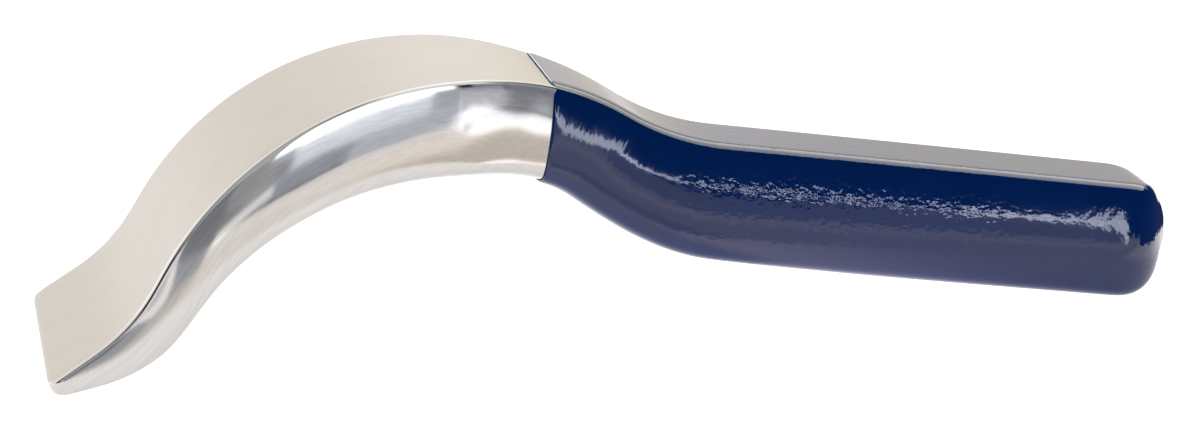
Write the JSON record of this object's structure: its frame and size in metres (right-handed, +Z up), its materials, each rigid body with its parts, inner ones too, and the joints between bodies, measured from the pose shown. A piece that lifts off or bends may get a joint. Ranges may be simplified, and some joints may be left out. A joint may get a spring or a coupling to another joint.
{
  "type": "trim removal tool",
  "caption": "Curved forged steel lever with a thin wide wedge, a tall arch and a straight handle under a dipped soft plastic sleeve.",
  "frame": {"origin": "on the floor under the middle of the tool's box, where the tool lies on its wedge and its butt", "axes": "+X runs from the wedge to the handle, +Y across the tool, +Z up out of the arch"},
  "size_m": [0.2994, 0.0636, 0.0717],
  "materials": {
    "polished_steel": "satin ground top face with crisp edges, sides and underside polished bright along the length",
    "dipped_plastic": "glossy navy-blue dip with a fine pebbled surface"
  },
  "bodies": {
    "root": {"spoon_body": "polished_steel", "dipped_grip": "dipped_plastic"}
  },
  "joints": []
}
